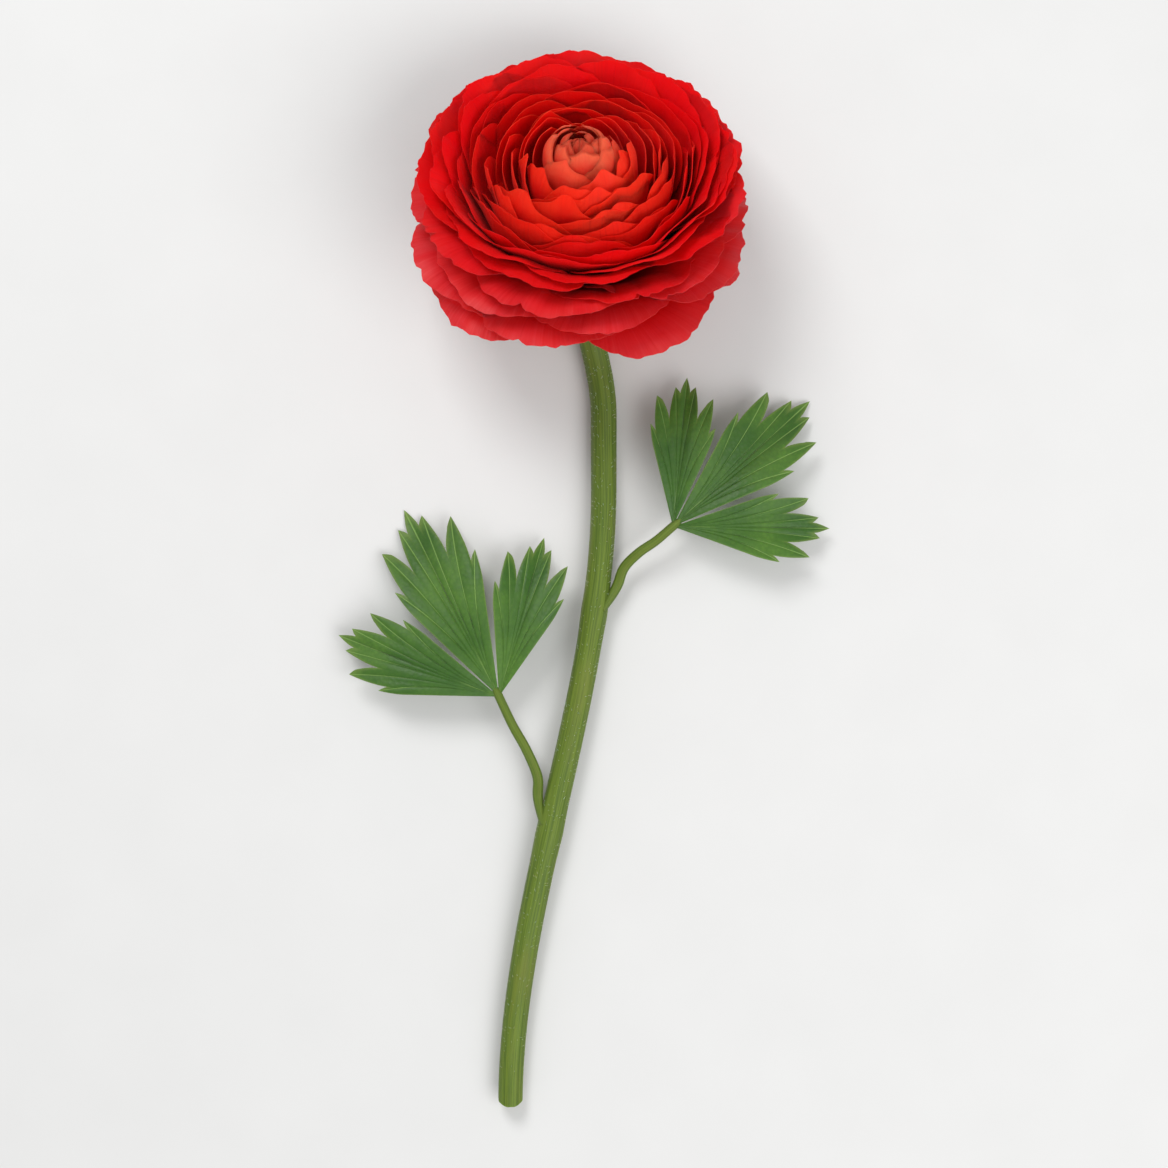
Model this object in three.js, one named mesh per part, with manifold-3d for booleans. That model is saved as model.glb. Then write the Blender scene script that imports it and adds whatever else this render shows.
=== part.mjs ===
// One cut flower of the persian buttercup (Ranunculus asiaticus): a fully double red bloom, the five
// sepals under it, its stem and two leaves. It lies on a table on its outer petals and its stem. The
// neck bends, so the face of the bloom looks up and away from the stem. Millimetres, +Z up.
import * as THREE from 'three';
import { mergeVertices } from 'three/addons/utils/BufferGeometryUtils.js';
import Module from 'manifold-3d';

const wasm = await Module();
wasm.setup();

// The part's origin is the middle of its footprint on the table. This is where the bloom's middle
// stands from there, and how far its axis leans from upright, away from the stem (degrees).
const BLOOM_PLACE = new THREE.Vector3(-1.09, 98.74, 34.2);
const BLOOM_LEAN = 42;

// Petals follow one another round the axis by the golden angle, each a little further out. Past
// those of the heart they gather into rings of five, with gaps between the rings.
const PETALS = 95;
const HEART_PETALS = 15;
const GOLDEN_ANGLE = 137.508;
const PETAL_THICKNESS = 0.7;
const HEART_GRID = { columns: 4, rows: [0.35, 0.72, 1] };
const OUTER_GRID = { columns: 6, rows: [0, 0.5, 0.78, 1] };
const OUTER_FROM = 0.52;
const CLAW_SHARE = 0.3;
const FLOOR_GIVE = 3;
const FLOOR_CUT = 0.2;
const FLOOR_SLIDE = 0.9;
const FIRST_TURN = 28;

// How the petals change from the heart of the bloom to its outermost ring. Share is the place in the
// row, tip and root are (radius, height) from the bloom's middle, lean and rise are the petal's
// direction at its tip and root, from the axis outwards, and half is half its width in degrees.
const STAGES = [
  { share: 0, tip: [-0.6, 23.2], lean: -88, root: [0.8, 13], rise: 20, half: 96 },
  { share: 0.03, tip: [1, 24.2], lean: -84, root: [1.2, 10], rise: 38, half: 78 },
  { share: 0.06, tip: [3.4, 24], lean: -74, root: [1.8, 6], rise: 44, half: 66 },
  { share: 0.1, tip: [5.6, 22.8], lean: -62, root: [2.4, 1], rise: 50, half: 60 },
  { share: 0.153, tip: [8.4, 20.6], lean: -50, root: [2.8, -3], rise: 53, half: 56 },
  { share: 0.165, tip: [11.6, 21.4], lean: -42, root: [3, -5], rise: 56, half: 54 },
  { share: 0.23, tip: [15.8, 19.2], lean: -36, root: [3.6, -10], rise: 62, half: 50 },
  { share: 0.3, tip: [20.8, 17.4], lean: -28, root: [4.1, -12.5], rise: 65, half: 48 },
  { share: 0.38, tip: [25.6, 16.2], lean: -18, root: [4.4, -13.8], rise: 68, half: 46 },
  { share: 0.46, tip: [30.4, 16.6], lean: -2, root: [4.7, -14.8], rise: 71, half: 44 },
  { share: 0.54, tip: [35.6, 17.8], lean: 26, root: [5, -16], rise: 74, half: 43 },
  { share: 0.64, tip: [40.4, 15.4], lean: 58, root: [5.3, -17], rise: 79, half: 42 },
  { share: 0.74, tip: [43.2, 10], lean: 80, root: [5.5, -18], rise: 84, half: 41 },
  { share: 0.84, tip: [44.2, 1.5], lean: 98, root: [5.6, -18.7], rise: 89, half: 41 },
  { share: 0.93, tip: [43.9, -8], lean: 110, root: [5.7, -19.2], rise: 93, half: 41 },
  { share: 1, tip: [42.4, -16], lean: 122, root: [5.8, -19.5], rise: 97, half: 41 },
];

// The packed middle of the bloom, where the petals lie so close that they leave no room between
// them: (radius, height) up its side, from the receptacle under it to the heart.
const CORE = [
  [0, -20.5], [6.2, -20.5], [12, -17], [22, -13], [30, -9], [36, -4], [38.5, 4], [36, 10.5],
  [31, 12.8], [26, 12.3], [20.5, 12.8], [15.5, 14.3], [12, 16], [9.5, 17.5], [7, 19.5], [0, 21.5],
];
const CORE_SIDES = 16;

// Under the bloom: the disc that the sepals stand on, and one sepal's profile, both (radius, height).
const CALYX = [[0, -25], [3.7, -25], [4.4, -24.4], [5.7, -22.4], [6, -20.8], [0, -20.8]];
const SEPALS = 5;
const SEPAL_FIRST = 54;
const SEPAL_PROFILE = [[3.2, -22.4], [11, -21.2], [21, -20.8], [19.5, -27.5]];
const SEPAL_HALF_WIDTH = 3.4;
const SEPAL_THICKNESS = 0.8;

const STEM_RADIUS = 3.4;
const STEM_LENGTH = 225;
const STEM_TOP = -25.3;
const STEM_SIDES = 12;
const STEM_STEPS = 44;
const STEM_HEIGHT = 3.5;
const STEM_ARCH = 1.8;
const STEM_SWAY = [[0, 40, 6.4], [60, 225, -25]];
const CUT_SLANT = 35;

// The leaves: where along the stem, on which side of it, which way they point from the stem's own
// direction (degrees), and the lengths of the stalk and of the three segments (left, middle, right).
const LEAVES = [
  { name: 'leaf_upper', at: 92, side: 1, heading: 42, stalk: 17, segments: [40, 50, 42], seed: 3 },
  { name: 'leaf_lower', at: 150, side: -1, heading: 38, stalk: 24, segments: [46, 56, 44], seed: 8 },
];
const SEGMENT_TURNS = [44, 2, -41];
const SEGMENT_HALF = 19.5;
const LEAF_THICKNESS = 0.7;
const STALK_RADIUS = 1.5;
const LEAF_PITCH = 13;
const LEAF_BEND = 58;
const GAP = 0.3;

const radians = THREE.MathUtils.degToRad;
const mix = THREE.MathUtils.lerp;
const smoothstep = THREE.MathUtils.smoothstep;

// A repeatable draw between -1 and 1 for petal or leaf number n, one for each use.
function draw(n, use) {
  const x = Math.sin(n * 12.9898 + use * 78.233) * 43758.5453;
  return 2 * (x - Math.floor(x)) - 1;
}

// The stage at a place in the row of petals, blended from the two stages around it.
function stageAt(share) {
  const next = Math.max(1, STAGES.findIndex((stage) => stage.share >= share));
  const a = STAGES[next - 1];
  const b = STAGES[next];
  const w = (share - a.share) / (b.share - a.share);
  const pair = (p, q) => [mix(p[0], q[0], w), mix(p[1], q[1], w)];
  return {
    tip: pair(a.tip, b.tip),
    root: pair(a.root, b.root),
    lean: mix(a.lean, b.lean, w),
    rise: mix(a.rise, b.rise, w),
    half: mix(a.half, b.half, w),
  };
}

// A point of the bloom's own frame, axis up and origin at its middle, in the part's frame.
function place(x, y, z) {
  const point = new THREE.Vector3(x, y, z);
  point.applyAxisAngle(new THREE.Vector3(1, 0, 0), -radians(BLOOM_LEAN));
  return point.add(BLOOM_PLACE);
}

// What reaches the table gives way to it: the middle of a sheet flattens at a low height above it,
// and where a centre is given it slides away from there as far as it is lifted.
function press(point, low, give, centre = null) {
  const z = point.z - low;
  if (z >= give) return point;
  const flat = z < -give ? 0 : (z + give) ** 2 / (4 * give);
  if (centre) {
    const away = new THREE.Vector3(point.x - centre.x, point.y - centre.y, 0).normalize();
    point.addScaledVector(away, FLOOR_SLIDE * (flat - z));
  }
  return point.setZ(low + flat);
}

// A closed sheet of even thickness. Its middle is surface(across, along), with across from -1 to 1
// and along from 0 at the root to 1 at the edge, and both faces are split into triangles alike.
function blade(surface, columns, rows, thickness) {
  const width = columns.length;
  const grid = new THREE.PlaneGeometry(2, 1, width - 1, rows.length - 1);
  const count = grid.attributes.position.count;
  const points = new Float32Array(count * 6);
  const step = 0.01;
  for (let i = 0; i < count; i++) {
    const across = columns[i % width];
    const along = rows[rows.length - 1 - Math.floor(i / width)];
    const low = Math.max(along - step, 0);
    const high = Math.min(along + step, 1);
    const left = Math.max(across - step, -1);
    const right = Math.min(across + step, 1);
    const middle = surface(across, along);
    const lengthways = surface(across, high).sub(surface(across, low));
    const sideways = surface(right, along).sub(surface(left, along));
    const normal = sideways.cross(lengthways).normalize();
    middle.clone().addScaledVector(normal, thickness / 2).toArray(points, i * 3);
    middle.clone().addScaledVector(normal, -thickness / 2).toArray(points, (count + i) * 3);
  }
  const front = Array.from(grid.index.array);
  const index = [...front];
  for (let i = 0; i < front.length; i += 3) {
    index.push(front[i] + count, front[i + 2] + count, front[i + 1] + count);
  }
  const last = rows.length - 1;
  const border = [];
  for (let i = 0; i < width - 1; i++) border.push(i);
  for (let j = 0; j < last; j++) border.push(j * width + width - 1);
  for (let i = width - 1; i > 0; i--) border.push(last * width + i);
  for (let j = last; j > 0; j--) border.push(j * width);
  border.forEach((a, i) => {
    const b = border[(i + 1) % border.length];
    index.push(a, b, a + count, b, b + count, a + count);
  });
  const geometry = new THREE.BufferGeometry();
  geometry.setAttribute('position', new THREE.BufferAttribute(points, 3));
  geometry.setIndex(index);
  return geometry;
}

function evenly(count) {
  return Array.from({ length: count + 1 }, (_, i) => (2 * i) / count - 1);
}

function toSolid(geometry) {
  const bare = geometry.clone();
  bare.deleteAttribute('normal');
  bare.deleteAttribute('uv');
  const merged = mergeVertices(bare, 1e-4);
  const solid = new wasm.Manifold(new wasm.Mesh({
    numProp: 3,
    vertProperties: merged.attributes.position.array,
    triVerts: new Uint32Array(merged.index.array),
  }));
  if (solid.volume() <= 0) throw new Error('a piece is inside out');
  return solid;
}

// Joins the pieces of one node and keeps the outer surface of the largest body: closed hollows
// between the pieces are filled and loose scraps dropped.
function fuse(geometries, plane = null) {
  let joined = wasm.Manifold.union(geometries.map(toSolid));
  if (plane) joined = joined.trimByPlane(plane.normal, plane.offset);
  const bodies = joined.simplify(0.04).decompose();
  return bodies.sort((a, b) => b.volume() - a.volume())[0];
}

function toMesh(name, solid, material) {
  const made = solid.getMesh();
  const geometry = new THREE.BufferGeometry();
  geometry.setAttribute('position', new THREE.BufferAttribute(made.vertProperties, 3));
  geometry.setIndex(new THREE.BufferAttribute(made.triVerts, 1));
  geometry.computeVertexNormals();
  const mesh = new THREE.Mesh(geometry, material);
  mesh.name = name;
  return mesh;
}

// A lathed piece of the bloom's own frame, stood where the bloom stands.
function turned(profile, sides) {
  const lathe = new THREE.LatheGeometry(profile.map(([r, z]) => new THREE.Vector2(r, z)), sides);
  lathe.rotateX(Math.PI / 2);
  const points = lathe.attributes.position;
  for (let i = 0; i < points.count; i++) {
    const at = place(points.getX(i), points.getY(i), points.getZ(i));
    points.setXYZ(i, at.x, at.y, at.z);
  }
  return lathe;
}

// One petal as a surface. It follows a profile from its root to its tip, wraps round the axis, has a
// narrow claw and a rounded rim, laps over one neighbour and under the other, and waves at the rim.
function petalSurface(number) {
  const share = number / (PETALS - 1);
  let ring = share;
  if (number >= HEART_PETALS) {
    const middle = Math.floor((number - HEART_PETALS) / 5) * 5 + HEART_PETALS + 2;
    ring = mix(share, Math.min(middle / (PETALS - 1), 1), 0.75);
  }
  const stage = stageAt(ring);
  const [rootRadius, rootHeight] = stage.root;
  const heart = 1 - smoothstep(share, 0.2, 0.5);
  const loose = smoothstep(share, 0.05, 0.2) * (1 - smoothstep(share, 0.5, 0.7));
  const turn = radians(FIRST_TURN + number * GOLDEN_ANGLE + (4 + 8 * loose) * draw(number, 4));
  const back = Math.sin(turn);
  const tipRadius = stage.tip[0] + 0.7 * loose * draw(number, 17) + 0.6 * share * Math.sin(2 * turn + 1);
  let tipHeight = stage.tip[1] + share * (0.4 * draw(number, 2) + 0.8 * Math.sin(3 * turn + 2));
  tipHeight += 2.5 * back * smoothstep(share, 0.25, 0.5) * (1 - smoothstep(share, 0.65, 0.9));
  tipHeight -= 1.4 * (1 - back) * smoothstep(share, 0.8, 1);
  const lean = radians(stage.lean + (3 + 4 * heart) * draw(number, 3));
  const rise = radians(stage.rise);
  const reach = Math.hypot(tipRadius - rootRadius, tipHeight - rootHeight);
  const arm = 0.38 * reach;
  const profile = new THREE.CubicBezierCurve(
    new THREE.Vector2(rootRadius, rootHeight),
    new THREE.Vector2(rootRadius + arm * Math.sin(rise), rootHeight + arm * Math.cos(rise)),
    new THREE.Vector2(tipRadius - arm * Math.sin(lean), tipHeight - arm * Math.cos(lean)),
    new THREE.Vector2(tipRadius, tipHeight),
  );
  const half = radians(stage.half * (1 + (0.07 + 0.08 * heart) * draw(number, 5)));
  const skew = radians(5 * draw(number, 6));
  const shoulder = mix(0.5, 0.75, Math.min(1, 1.5 * share)) - 0.17 * smoothstep(share, 0.5, 0.75);
  const roundness = mix(1.15, 0.65, Math.min(1, 1.4 * share));
  const lap = 0.6 + 0.5 * draw(number, 16) * smoothstep(share, 0.15, 0.3);
  const wave = 1.1 * share ** 1.5;
  return (across, along) => {
    const arc = across * Math.PI / 2;
    const side = Math.sin(arc);
    const v = along * (shoulder + (1 - shoulder) * Math.max(Math.cos(arc), 0) ** roundness);
    const point = profile.getPoint(v);
    const tangent = profile.getTangent(Math.min(Math.max(v, 0.001), 0.999));
    const open = smoothstep(v, 0, 0.6);
    const angle = turn + side * half * mix(CLAW_SHARE, 1, open) + skew * v * v;
    const ruffle = wave * along ** 3 * Math.sin(5 * angle + 14 * share);
    const offset = open * (lap * side - 0.5 * side * side) + ruffle;
    const radius = point.x + tangent.y * offset;
    const height = point.y - tangent.x * offset;
    const at = place(radius * Math.cos(angle), radius * Math.sin(angle), height);
    return press(at, PETAL_THICKNESS / 2 - FLOOR_CUT, FLOOR_GIVE, BLOOM_PLACE);
  };
}

function bloom(material) {
  const pieces = [turned(CORE, CORE_SIDES)];
  for (let number = 0; number < PETALS; number++) {
    const { columns, rows } = number > OUTER_FROM * PETALS ? OUTER_GRID : HEART_GRID;
    pieces.push(blade(petalSurface(number), evenly(columns), rows, PETAL_THICKNESS));
  }
  const solid = fuse(pieces, { normal: [0, 0, 1], offset: 0 });
  return toMesh('bloom', solid, material);
}

// The calyx: a shallow disc under the bloom and five narrow sepals that bend back from it.
function calyx(material) {
  const pieces = [turned(CALYX, 12)];
  const points = SEPAL_PROFILE.map(([r, z]) => new THREE.Vector2(r, z));
  const profile = new THREE.CubicBezierCurve(...points);
  for (let number = 0; number < SEPALS; number++) {
    const turn = radians(SEPAL_FIRST + number * 360 / SEPALS + 5 * draw(number, 21));
    const curl = 1.5 * draw(number, 22);
    const sepal = (across, along) => {
      const point = profile.getPoint(along);
      const tangent = profile.getTangent(Math.min(Math.max(along, 0.001), 0.999));
      const taper = 1 - 0.75 * along ** 3;
      const swell = 0.8 + 0.2 * Math.sin(Math.PI * Math.min(1, 1.4 * along));
      const sideways = across * SEPAL_HALF_WIDTH * taper * swell;
      const cup = -0.7 * across * across * taper;
      const radius = point.x + tangent.y * cup;
      const height = point.y - tangent.x * cup + curl * along * along;
      const x = radius * Math.cos(turn) - sideways * Math.sin(turn);
      const y = radius * Math.sin(turn) + sideways * Math.cos(turn);
      return press(place(x, y, height), SEPAL_THICKNESS / 2 + 0.1, 2);
    };
    pieces.push(blade(sepal, evenly(2), [0, 0.3, 0.55, 0.75, 0.9, 1], SEPAL_THICKNESS));
  }
  return toMesh('calyx', fuse(pieces), material);
}

// The middle line of the stem, by length from the calyx. It leaves along the bloom's axis, bends in
// the neck until it runs level along the table, and then sways gently from side to side.
const neckTop = place(0, 0, STEM_TOP);
const neckTurn = radians(90 - BLOOM_LEAN);
const neckRadius = (neckTop.z - STEM_HEIGHT) / (1 - Math.cos(neckTurn));
const neckLength = neckRadius * neckTurn;

function stemPoint(length) {
  const slope = neckTurn - Math.min(length, neckLength) / neckRadius;
  const level = Math.max(0, length - neckLength);
  const arch = Math.sin(Math.PI * level / (STEM_LENGTH - neckLength)) ** 2;
  let x = neckTop.x;
  for (const [from, to, sway] of STEM_SWAY) x += sway * smoothstep(length, from, to);
  return new THREE.Vector3(
    x,
    neckTop.y - neckRadius * (Math.sin(neckTurn) - Math.sin(slope)) - level,
    neckTop.z - neckRadius * (Math.cos(slope) - Math.cos(neckTurn)) + STEM_ARCH * arch,
  );
}

class Line extends THREE.Curve {
  constructor(at) {
    super();
    this.at = at;
  }

  getPoint(share, target = new THREE.Vector3()) {
    return target.copy(this.at(share));
  }
}

// A round bar along a line given by share 0 to 1, swept from a regular section. The taper gives its
// thickness there as a share of the radius.
function bar(at, radius, sides, steps, taper = () => 1) {
  const section = new THREE.Shape();
  for (let i = 0; i < sides; i++) {
    const angle = 2 * Math.PI * (i + 0.5) / sides;
    if (i === 0) section.moveTo(radius * Math.cos(angle), radius * Math.sin(angle));
    else section.lineTo(radius * Math.cos(angle), radius * Math.sin(angle));
  }
  const extrudePath = new Line(at);
  const geometry = new THREE.ExtrudeGeometry(section, { steps, extrudePath, bevelEnabled: false });
  const centres = extrudePath.getSpacedPoints(steps);
  const points = geometry.attributes.position;
  const point = new THREE.Vector3();
  for (let i = 0; i < points.count; i++) {
    point.fromBufferAttribute(points, i);
    const far = centres.map((centre) => centre.distanceTo(point));
    const ring = far.indexOf(Math.min(...far));
    point.sub(centres[ring]).multiplyScalar(taper(ring / steps)).add(centres[ring]);
    points.setXYZ(i, point.x, point.y, point.z);
  }
  return geometry;
}

function stem(material) {
  const geometry = bar((share) => stemPoint(share * STEM_LENGTH), STEM_RADIUS, STEM_SIDES, STEM_STEPS);
  const end = stemPoint(STEM_LENGTH);
  const slant = radians(CUT_SLANT);
  const normal = [0, Math.cos(slant), Math.sin(slant)];
  const offset = (end.y + STEM_RADIUS * Math.tan(slant)) * normal[1] + end.z * normal[2];
  return toMesh('stem', fuse([geometry], { normal, offset }), material);
}

// Where a segment of a leaf ends, as a share of its length: three lobes with pointed teeth. Each
// entry is a place across the segment, from -1 to 1, and the share there.
const TEETH = [
  [-1, 0.56], [-0.92, 0.71], [-0.8, 0.66], [-0.62, 0.89], [-0.5, 0.83], [-0.37, 0.73], [-0.2, 0.94],
  [-0.1, 0.9], [0, 1], [0.12, 0.89], [0.22, 0.93], [0.38, 0.72], [0.51, 0.84], [0.64, 0.88],
  [0.81, 0.65], [0.92, 0.7], [1, 0.56],
];
// The rows of a segment up to where its lobes part, as shares of its length, and its edge.
const SEGMENT_ROWS = [0, 0.22, 0.42, 0.56];

function leaf(spec, material) {
  const root = stemPoint(spec.at);
  const ahead = stemPoint(spec.at - 5).sub(root).setZ(0).normalize();
  const out = new THREE.Vector3(ahead.y, -ahead.x, 0).multiplyScalar(spec.side);
  const heading = radians(spec.heading);
  const forward = ahead.clone().multiplyScalar(Math.cos(heading)).addScaledVector(out, Math.sin(heading));
  const across = new THREE.Vector3(-forward.y, forward.x, 0);
  const clear = STEM_RADIUS + GAP;
  // The stalk starts thin beside the stem, runs along it and then turns out and up to the blade.
  const taper = (share) => Math.min(1, 0.35 + 5 * share) * (1 - 0.25 * share);
  const start = root.clone().addScaledVector(out, clear + 0.4 * STALK_RADIUS).setZ(root.z + 0.4);
  const beside = root.clone().addScaledVector(out, clear + STALK_RADIUS).setZ(root.z + 0.4);
  beside.addScaledVector(ahead, 7);
  const turn = beside.clone().addScaledVector(ahead, 5).addScaledVector(out, 1.2);
  const blades = turn.clone().addScaledVector(forward, spec.stalk).setZ(10.5);
  const line = new THREE.CatmullRomCurve3([
    start,
    beside,
    turn.clone().setZ(root.z + 1.6),
    turn.clone().lerp(blades, 0.3).addScaledVector(ahead, 0.8).setZ(root.z + 3.4),
    turn.clone().lerp(blades, 0.65).setZ(9.4),
    blades,
    blades.clone().addScaledVector(forward, 3.5).setZ(10.9),
  ], false, 'centripetal');
  const pieces = [bar((share) => line.getPoint(share), STALK_RADIUS, 8, 14, taper)];
  SEGMENT_TURNS.forEach((segmentTurn, number) => {
    const reach = spec.segments[number];
    const middle = radians(segmentTurn);
    const surface = (column, along) => {
      const exact = (column + 1) / 2 * (TEETH.length - 1);
      const before = Math.min(Math.floor(exact), TEETH.length - 2);
      const part = exact - before;
      const place = mix(TEETH[before][0], TEETH[before + 1][0], part);
      const end = mix(TEETH[before][1], TEETH[before + 1][1], part);
      const angle = middle + place * radians(SEGMENT_HALF);
      const row = along * SEGMENT_ROWS.length;
      const inner = Math.min(Math.floor(row), SEGMENT_ROWS.length - 1);
      const outer = inner + 1 < SEGMENT_ROWS.length ? SEGMENT_ROWS[inner + 1] : end;
      const far = Math.max(1.4, reach * mix(SEGMENT_ROWS[inner], outer, row - inner));
      const fold = 0.22 * far * Math.abs(Math.sin(place * radians(SEGMENT_HALF)));
      const wave = 1.1 * (far / reach) * Math.sin(2.6 * place + spec.seed + number);
      const lift = far * Math.tan(radians(LEAF_PITCH)) - far * far / (2 * LEAF_BEND);
      const at = blades.clone();
      at.addScaledVector(forward, far * Math.cos(angle));
      at.addScaledVector(across, far * Math.sin(angle));
      at.z += lift + fold + wave;
      return press(at, LEAF_THICKNESS / 2 + 0.1, 3);
    };
    const rows = Array.from({ length: SEGMENT_ROWS.length + 1 }, (_, i) => i / SEGMENT_ROWS.length);
    pieces.push(blade(surface, evenly(TEETH.length - 1), rows, LEAF_THICKNESS));
  });
  return toMesh(spec.name, fuse(pieces), material);
}

const red = new THREE.MeshStandardMaterial({ color: 0xc4141a, roughness: 0.55, metalness: 0 });
const sepalGreen = new THREE.MeshStandardMaterial({ color: 0x9fae6a, roughness: 0.7, metalness: 0 });
const stemGreen = new THREE.MeshStandardMaterial({ color: 0x6f8f3a, roughness: 0.6, metalness: 0 });
const leafGreen = new THREE.MeshStandardMaterial({ color: 0x5c9a3c, roughness: 0.6, metalness: 0 });

const group = new THREE.Group();
group.add(bloom(red));
group.add(calyx(sepalGreen));
group.add(stem(stemGreen));
for (const spec of LEAVES) group.add(leaf(spec, leafGreen));

export default group;
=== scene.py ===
# One cut flower of the persian buttercup, lying on a pale table: its stem, calyx, petals and leaves.
# Sizes are in millimetres and are turned into metres where a mesh takes them.
import math

import bmesh
import bpy
from mathutils import Matrix, Vector, noise


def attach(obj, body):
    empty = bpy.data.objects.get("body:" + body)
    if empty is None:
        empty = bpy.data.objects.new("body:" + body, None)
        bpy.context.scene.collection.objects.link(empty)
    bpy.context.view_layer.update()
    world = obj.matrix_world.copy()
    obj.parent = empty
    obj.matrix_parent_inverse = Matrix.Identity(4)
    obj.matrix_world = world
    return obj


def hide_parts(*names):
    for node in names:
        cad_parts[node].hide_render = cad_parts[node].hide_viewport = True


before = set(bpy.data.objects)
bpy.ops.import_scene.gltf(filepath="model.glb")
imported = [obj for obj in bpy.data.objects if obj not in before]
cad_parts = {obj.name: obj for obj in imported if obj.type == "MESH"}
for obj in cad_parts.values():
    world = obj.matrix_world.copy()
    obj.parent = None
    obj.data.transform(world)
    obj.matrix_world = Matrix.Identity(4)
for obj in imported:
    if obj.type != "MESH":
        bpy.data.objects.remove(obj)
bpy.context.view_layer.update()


# The stem. One juicy green stalk, finely grooved, that runs level along the table and bends up in
# the neck to the bloom. Its lower end is cut on a slant and shows a pale rim round a hollow.
MM = 0.001
# The bloom's middle, and how far its axis leans from upright towards +Y.
BLOOM_PLACE = Vector((-1.09, 98.74, 34.2))
BLOOM_LEAN = math.radians(42)
STEM_RADIUS = 3.4
STEM_LENGTH = 225
# The stem's top, along the bloom's axis from its middle.
STEM_TOP = -25.3
# Its middle line lies this high over the table, and rises a little more between neck and cut.
STEM_HEIGHT = 3.5
STEM_ARCH = 1.8
# Each sway: from this length, to this length, this far sideways.
STEM_SWAY = [(0, 40, 6.4), (60, 225, -25)]
# From this length on the stem lies on the table. The leaves grow at two thickened nodes.
LYING_FROM = 45
LEAF_NODES = [92, 150]
CUT_SLANT = math.radians(35)
CUT_SKIN = 0.15
CUT_WALL = 0.95
HOLLOW_DEPTH = 7
# Faces that meet at a sharper angle than this keep a crisp edge.
SHARP_ANGLE = 0.6


def smoothstep(x, low, high):
    x = min(max((x - low) / (high - low), 0), 1)
    return x * x * (3 - 2 * x)


def place(x, y, z):
    """A point of the bloom's own frame, axis up, in the flower's frame."""
    cos, sin = math.cos(BLOOM_LEAN), math.sin(BLOOM_LEAN)
    return Vector((x, y * cos + z * sin, z * cos - y * sin)) + BLOOM_PLACE


neck_top = place(0, 0, STEM_TOP)
neck_turn = math.pi / 2 - BLOOM_LEAN
neck_radius = (neck_top.z - STEM_HEIGHT) / (1 - math.cos(neck_turn))
neck_length = neck_radius * neck_turn


def stem_point(length):
    """The middle line of the stem, by length from the calyx."""
    slope = neck_turn - min(length, neck_length) / neck_radius
    level = max(0, length - neck_length)
    arch = math.sin(math.pi * level / (STEM_LENGTH - neck_length)) ** 2
    sway = sum(far * smoothstep(length, low, high) for low, high, far in STEM_SWAY)
    return Vector((
        neck_top.x + sway,
        neck_top.y - neck_radius * (math.sin(neck_turn) - math.sin(slope)) - level,
        neck_top.z - neck_radius * (math.cos(slope) - math.cos(neck_turn)) + STEM_ARCH * arch,
    ))


def tube(bm, line, steps, sides, shape):
    """A round bar swept along line(0 to 1), open at both ends. Shape gives its radius, or its width
    and height, by share and angle. Its skin attribute holds the place round the bar and the way run
    along it. Returns its first and last ring."""
    skin = bm.verts.layers.float_vector.get("skin") or bm.verts.layers.float_vector.new("skin")
    ring = bmesh.ops.create_circle(bm, segments=sides, radius=1)["verts"]
    edges = {edge for vert in ring for edge in vert.link_edges}
    first = list(ring)
    run, last = 0, line(0)
    for step in range(steps + 1):
        share = step / steps
        centre = line(share)
        ahead = (line(min(share + 0.002, 1)) - line(max(share - 0.002, 0))).normalized()
        side = ahead.cross(Vector((0, 0, 1))).normalized()
        up = side.cross(ahead)
        if step:
            grown = bmesh.ops.extrude_edge_only(bm, edges=list(edges))["geom"]
            fresh = {part for part in grown if isinstance(part, bmesh.types.BMVert)}
            edges = {part for part in grown if isinstance(part, bmesh.types.BMEdge)}
            edges = {edge for edge in edges if set(edge.verts) <= fresh}
            ring = [next(edge.other_vert(old) for edge in old.link_edges if edge.other_vert(old) in fresh)
                    for old in ring]
        run += (centre - last).length
        last = centre
        for number, vert in enumerate(ring):
            angle = 2 * math.pi * number / sides
            radius = shape(share, angle)
            wide, tall = radius if isinstance(radius, tuple) else (radius, radius)
            vert.co = (centre + side * (wide * math.cos(angle)) + up * (tall * math.sin(angle))) * MM
            vert[skin] = (math.cos(angle), math.sin(angle), run)
    return first, ring


def cap(bm, ring):
    """Closes a round bar over the ring at one of its ends."""
    edges = [edge for edge in bm.edges if edge.is_boundary and edge.verts[0] in ring]
    bmesh.ops.contextual_create(bm, geom=edges)


def finish_mesh(name, bm, paints, nodes=()):
    """Turns a bmesh into a piece of the flower that lies still with it."""
    mesh = bpy.data.meshes.new(name)
    bm.to_mesh(mesh)
    bm.free()
    mesh.shade_smooth()
    for paint in paints:
        mesh.materials.append(paint.material)
    piece = bpy.data.objects.new(name, mesh)
    bpy.context.scene.collection.objects.link(piece)
    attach(piece, "root")
    if nodes:
        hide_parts(*nodes)


class Wire:
    """A node's output. Sums written with it become Math nodes."""

    def __init__(self, paint, socket):
        self.paint = paint
        self.socket = socket

    def __add__(self, other):
        return self.paint.maths("ADD", self, other)

    def __sub__(self, other):
        return self.paint.maths("SUBTRACT", self, other)

    def __rsub__(self, other):
        return self.paint.maths("SUBTRACT", other, self)

    def __mul__(self, other):
        return self.paint.maths("MULTIPLY", self, other)

    def __abs__(self):
        return self.paint.maths("ABSOLUTE", self)

    __radd__ = __add__
    __rmul__ = __mul__


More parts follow.
